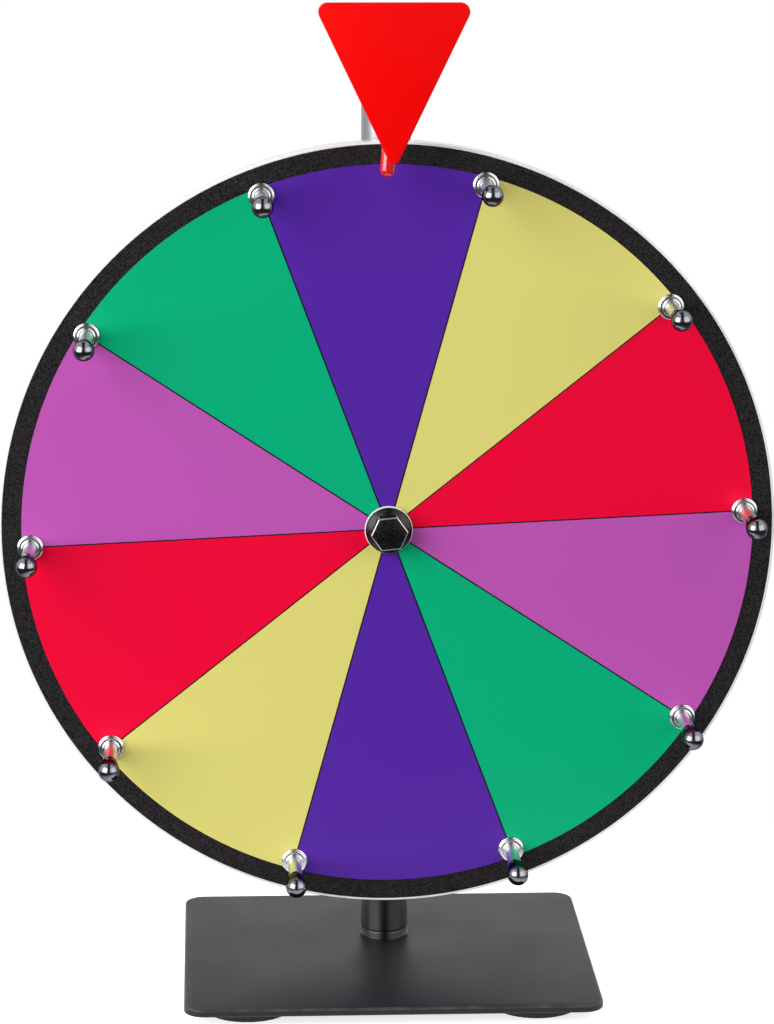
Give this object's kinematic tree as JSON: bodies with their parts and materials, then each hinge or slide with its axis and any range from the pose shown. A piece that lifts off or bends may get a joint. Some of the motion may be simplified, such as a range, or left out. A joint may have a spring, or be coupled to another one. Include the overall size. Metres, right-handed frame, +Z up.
{
  "type": "tabletop prize wheel",
  "caption": "Upright spinning game wheel with colour panels and chrome pegs on a bolt axle, on a pole with a flat base, and a red pointer with a finger that clicks over the pegs.",
  "frame": {"origin": "on the table under the middle of the base plate", "axes": "+Z up, the wheel faces -Y, X to the right as seen from the front"},
  "size_m": [0.3048, 0.144, 0.3917],
  "materials": {
    "base_coat": "satin charcoal powder coat on steel plate",
    "pole_coat": "satin black powder coat on steel tube",
    "foot_rubber": "matte black rubber",
    "zinc_steel": "bright zinc plate",
    "black_plastic": "moulded black plastic",
    "satin_aluminium": "satin anodised aluminium",
    "black_oxide": "black oxide on steel",
    "white_nylon": "moulded white nylon",
    "bearing_steel": "ground and polished steel",
    "cage_brass": "machined brass",
    "pointer_red": "gloss red acrylic",
    "finger_vinyl": "gloss red vinyl",
    "white_board": "white rigid foam board",
    "edge_white": "white edge strip",
    "black_sheet": "black laminate with a fine orange-peel texture",
    "hub_black": "moulded black glass-filled nylon",
    "cap_chrome": "dark mirror chrome plate",
    "peg_nickel": "bright nickel plate",
    "panel_purple": "gloss write-on film",
    "panel_yellow": "gloss write-on film",
    "panel_red": "gloss write-on film",
    "panel_pink": "gloss write-on film",
    "panel_green": "gloss write-on film"
  },
  "bodies": {
    "stand": {"base_plate": "base_coat", "foot_front_left": "foot_rubber", "foot_front_right": "foot_rubber", "foot_rear_left": "foot_rubber", "foot_rear_right": "foot_rubber", "base_bolt": "zinc_steel", "base_washer": "zinc_steel", "pole_foot": "pole_coat", "lower_pole": "pole_coat", "pole_joiner": "zinc_steel", "upper_pole": "satin_aluminium", "pole_cap": "satin_aluminium", "axle_bolt": "black_oxide", "axle_washer": "white_nylon", "bearing_inner_rings": "bearing_steel", "bearing_spacer": "zinc_steel", "axle_spacer": "zinc_steel", "axle_saddle": "zinc_steel", "axle_nut": "zinc_steel", "pointer_saddle": "zinc_steel", "pointer_bolt": "zinc_steel", "pointer_sleeve": "satin_aluminium", "pointer_holder": "black_plastic", "pointer_plate": "pointer_red", "finger_pin": "zinc_steel"},
    "wheel": {"wheel_board": "white_board", "edge_band": "edge_white", "face_sheet": "black_sheet", "panel_1": "panel_purple", "panel_2": "panel_yellow", "panel_3": "panel_red", "panel_4": "panel_pink", "panel_5": "panel_green", "panel_6": "panel_purple", "panel_7": "panel_yellow", "panel_8": "panel_red", "panel_9": "panel_pink", "panel_10": "panel_green", "peg_1": "peg_nickel", "peg_2": "peg_nickel", "peg_3": "peg_nickel", "peg_4": "peg_nickel", "peg_5": "peg_nickel", "peg_6": "peg_nickel", "peg_7": "peg_nickel", "peg_8": "peg_nickel", "peg_9": "peg_nickel", "peg_10": "peg_nickel", "peg_caps": "cap_chrome", "peg_collars": "peg_nickel", "peg_washers": "peg_nickel", "peg_nuts": "zinc_steel", "wheel_hub": "hub_black", "hub_screws": "zinc_steel", "bearing_outer_rings": "bearing_steel", "bearing_circlip": "zinc_steel"},
    "ball_sets": {"bearing_balls": "bearing_steel", "bearing_cages": "cage_brass"},
    "finger": {"finger": "finger_vinyl"}
  },
  "joints": [
    {"name": "wheel_spin", "type": "hinge", "parent": "stand", "child": "wheel", "pos_m": [0, -0.01, 0.1838], "axis": [0, 1, 0], "continuous": true},
    {"name": "ball_orbit", "type": "hinge", "parent": "stand", "child": "ball_sets", "pos_m": [0, -0.01, 0.1838], "axis": [0, 1, 0], "continuous": true},
    {"name": "finger_flex", "type": "hinge", "parent": "stand", "child": "finger", "pos_m": [0, -0.029, 0.3518], "axis": [0, 1, 0], "range_deg": [-40, 40], "stiffness_Nm_per_rad": 0.03}
  ],
  "couplings": [
    {"joint": "ball_orbit", "follows": "wheel_spin", "ratio": 0.63233}
  ]
}
